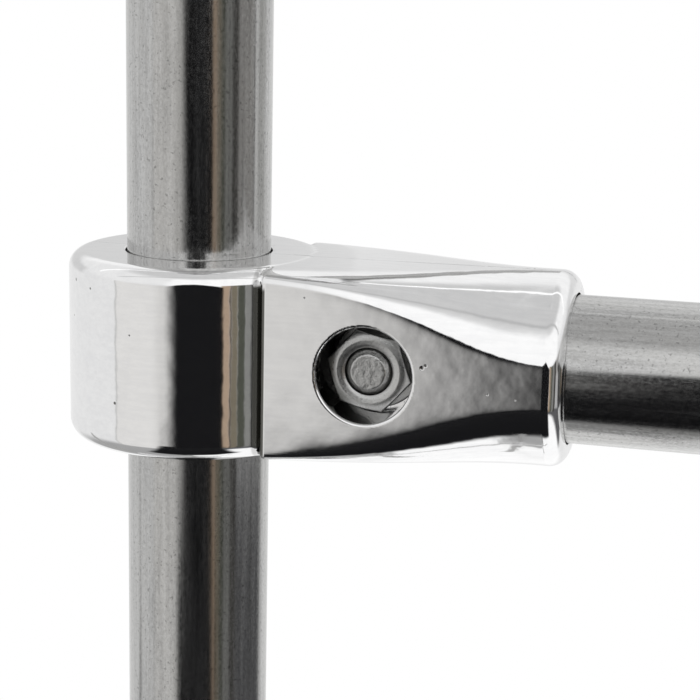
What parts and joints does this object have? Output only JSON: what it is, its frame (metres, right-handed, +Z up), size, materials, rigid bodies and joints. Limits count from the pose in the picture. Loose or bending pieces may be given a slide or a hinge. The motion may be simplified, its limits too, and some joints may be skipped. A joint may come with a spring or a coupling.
{
  "type": "four way clothing rack",
  "caption": "Free-standing chrome garment rack: an upright post on a crossed base, with straight hanging arms in split cast clamps that slide up the post and swivel round it.",
  "frame": {"origin": "on the floor, under the centre of the post", "axes": "+Z up along the post, +X along the right arm, -Y along the front arm"},
  "size_m": [0.89, 0.89, 1.605],
  "materials": {
    "chrome_casting": "bright chrome on a cast surface with slight orange peel",
    "chrome_tube": "bright chrome with fine specks and light scratches",
    "zinc_plate": "dull zinc plate",
    "nylon": "matt",
    "black_plastic": "fine satin grain"
  },
  "bodies": {
    "stand": {"post_tube": "chrome_tube", "post_top_cap": "black_plastic", "base_hub": "chrome_casting", "post_set_screw": "zinc_plate", "right_leg": "chrome_tube", "right_leg_cap": "black_plastic", "right_leg_set_screw": "zinc_plate", "right_leg_insert": "zinc_plate", "back_leg": "chrome_tube", "back_leg_cap": "black_plastic", "back_leg_set_screw": "zinc_plate", "back_leg_insert": "zinc_plate", "left_leg": "chrome_tube", "left_leg_cap": "black_plastic", "left_leg_set_screw": "zinc_plate", "left_leg_insert": "zinc_plate", "front_leg": "chrome_tube", "front_leg_cap": "black_plastic", "front_leg_set_screw": "zinc_plate", "front_leg_insert": "zinc_plate"},
    "right_liner": {"right_grip_liner": "nylon"},
    "right_arm": {"right_clamp_nut_half": "chrome_casting", "right_clamp_bolt_half": "chrome_casting", "right_clamp_bolt": "zinc_plate", "right_clamp_washer": "zinc_plate", "right_arm_tube": "chrome_tube", "right_arm_end_cap": "black_plastic"},
    "right_nut": {"right_clamp_nut": "zinc_plate"},
    "right_foot": {"right_leveller": "black_plastic"},
    "back_liner": {"back_grip_liner": "nylon"},
    "back_arm": {"back_clamp_nut_half": "chrome_casting", "back_clamp_bolt_half": "chrome_casting", "back_clamp_bolt": "zinc_plate", "back_clamp_washer": "zinc_plate", "back_arm_tube": "chrome_tube", "back_arm_end_cap": "black_plastic"},
    "back_nut": {"back_clamp_nut": "zinc_plate"},
    "back_foot": {"back_leveller": "black_plastic"},
    "left_liner": {"left_grip_liner": "nylon"},
    "left_arm": {"left_clamp_nut_half": "chrome_casting", "left_clamp_bolt_half": "chrome_casting", "left_clamp_bolt": "zinc_plate", "left_clamp_washer": "zinc_plate", "left_arm_tube": "chrome_tube", "left_arm_end_cap": "black_plastic"},
    "left_nut": {"left_clamp_nut": "zinc_plate"},
    "left_foot": {"left_leveller": "black_plastic"},
    "front_liner": {"front_grip_liner": "nylon"},
    "front_arm": {"front_clamp_nut_half": "chrome_casting", "front_clamp_bolt_half": "chrome_casting", "front_clamp_bolt": "zinc_plate", "front_clamp_washer": "zinc_plate", "front_arm_tube": "chrome_tube", "front_arm_end_cap": "black_plastic"},
    "front_nut": {"front_clamp_nut": "zinc_plate"},
    "front_foot": {"front_leveller": "black_plastic"}
  },
  "joints": [
    {"name": "right_arm_height", "type": "slide", "parent": "stand", "child": "right_liner", "axis": [0, 0, 1], "range_m": [-0.045, 0.045]},
    {"name": "right_arm_swivel", "type": "hinge", "parent": "right_liner", "child": "right_arm", "pos_m": [0, 0, 1.2], "axis": [0, 0, 1], "continuous": true},
    {"name": "right_nut_turn", "type": "hinge", "parent": "right_arm", "child": "right_nut", "pos_m": [0.0347, -0.0073, 1.2], "axis": [0, -1, 0], "continuous": true},
    {"name": "right_foot_turn", "type": "hinge", "parent": "stand", "child": "right_foot", "pos_m": [0.335, 0, 0], "axis": [0, 0, 1], "continuous": true},
    {"name": "back_arm_height", "type": "slide", "parent": "stand", "child": "back_liner", "axis": [0, 0, 1], "range_m": [-0.045, 0.045]},
    {"name": "back_arm_swivel", "type": "hinge", "parent": "back_liner", "child": "back_arm", "pos_m": [0, 0, 1.35], "axis": [0, 0, 1], "continuous": true},
    {"name": "back_nut_turn", "type": "hinge", "parent": "back_arm", "child": "back_nut", "pos_m": [0.0073, 0.0347, 1.35], "axis": [1, 0, 0], "continuous": true},
    {"name": "back_foot_turn", "type": "hinge", "parent": "stand", "child": "back_foot", "pos_m": [0, 0.335, 0], "axis": [0, 0, 1], "continuous": true},
    {"name": "left_arm_height", "type": "slide", "parent": "stand", "child": "left_liner", "axis": [0, 0, 1], "range_m": [-0.045, 0.045]},
    {"name": "left_arm_swivel", "type": "hinge", "parent": "left_liner", "child": "left_arm", "pos_m": [0, 0, 1.05], "axis": [0, 0, 1], "continuous": true},
    {"name": "left_nut_turn", "type": "hinge", "parent": "left_arm", "child": "left_nut", "pos_m": [-0.0347, 0.0073, 1.05], "axis": [0, 1, 0], "continuous": true},
    {"name": "left_foot_turn", "type": "hinge", "parent": "stand", "child": "left_foot", "pos_m": [-0.335, 0, 0], "axis": [0, 0, 1], "continuous": true},
    {"name": "front_arm_height", "type": "slide", "parent": "stand", "child": "front_liner", "axis": [0, 0, 1], "range_m": [-0.045, 0.045]},
    {"name": "front_arm_swivel", "type": "hinge", "parent": "front_liner", "child": "front_arm", "pos_m": [0, 0, 1.5], "axis": [0, 0, 1], "continuous": true},
    {"name": "front_nut_turn", "type": "hinge", "parent": "front_arm", "child": "front_nut", "pos_m": [-0.0073, -0.0347, 1.5], "axis": [-1, 0, 0], "continuous": true},
    {"name": "front_foot_turn", "type": "hinge", "parent": "stand", "child": "front_foot", "pos_m": [0, -0.335, 0], "axis": [0, 0, 1], "continuous": true}
  ]
}
